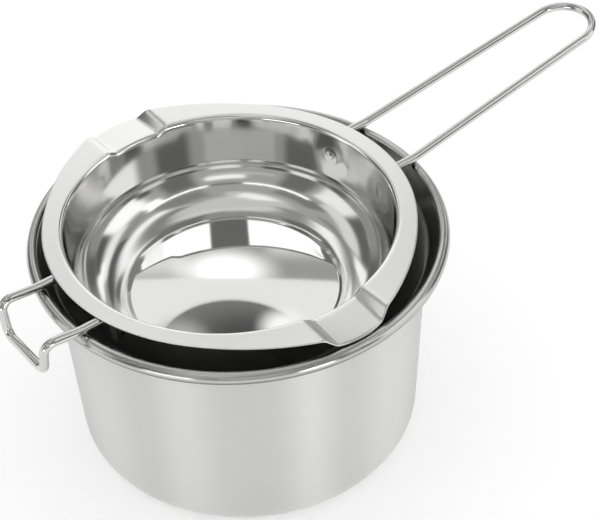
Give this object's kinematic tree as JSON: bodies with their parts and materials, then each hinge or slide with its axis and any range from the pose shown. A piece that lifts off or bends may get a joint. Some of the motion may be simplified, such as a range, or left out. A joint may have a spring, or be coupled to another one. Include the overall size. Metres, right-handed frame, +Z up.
{
  "type": "double boiler",
  "caption": "Stainless double boiler: a saucepan body with a spouted melting bowl that hangs in its mouth by a long wire handle and a rest hook.",
  "frame": {"origin": "middle of the underside of the pot's base", "axes": "+Z up out of the pot, +X along the bowl's long handle, -X towards the rest hook, +Y and -Y towards the pouring spouts"},
  "size_m": [0.3117, 0.1838, 0.1266],
  "materials": {
    "brushed_steel": "fine satin, brushed round the pot, with a polished bead",
    "polished_steel": "mirror polished stainless steel sheet",
    "wire_steel": "drawn and tumbled stainless steel wire, bright",
    "weld_steel": "cleaned weld metal"
  },
  "bodies": {
    "pot": {"pot_shell": "brushed_steel"},
    "insert": {"insert_bowl": "polished_steel", "long_handle": "wire_steel", "rest_hook": "wire_steel", "handle_welds": "weld_steel", "hook_welds": "weld_steel"}
  },
  "joints": [
    {"name": "insert_lift", "type": "slide", "parent": "pot", "child": "insert", "axis": [0, 0, 1], "range_m": [0, 0.12]}
  ]
}
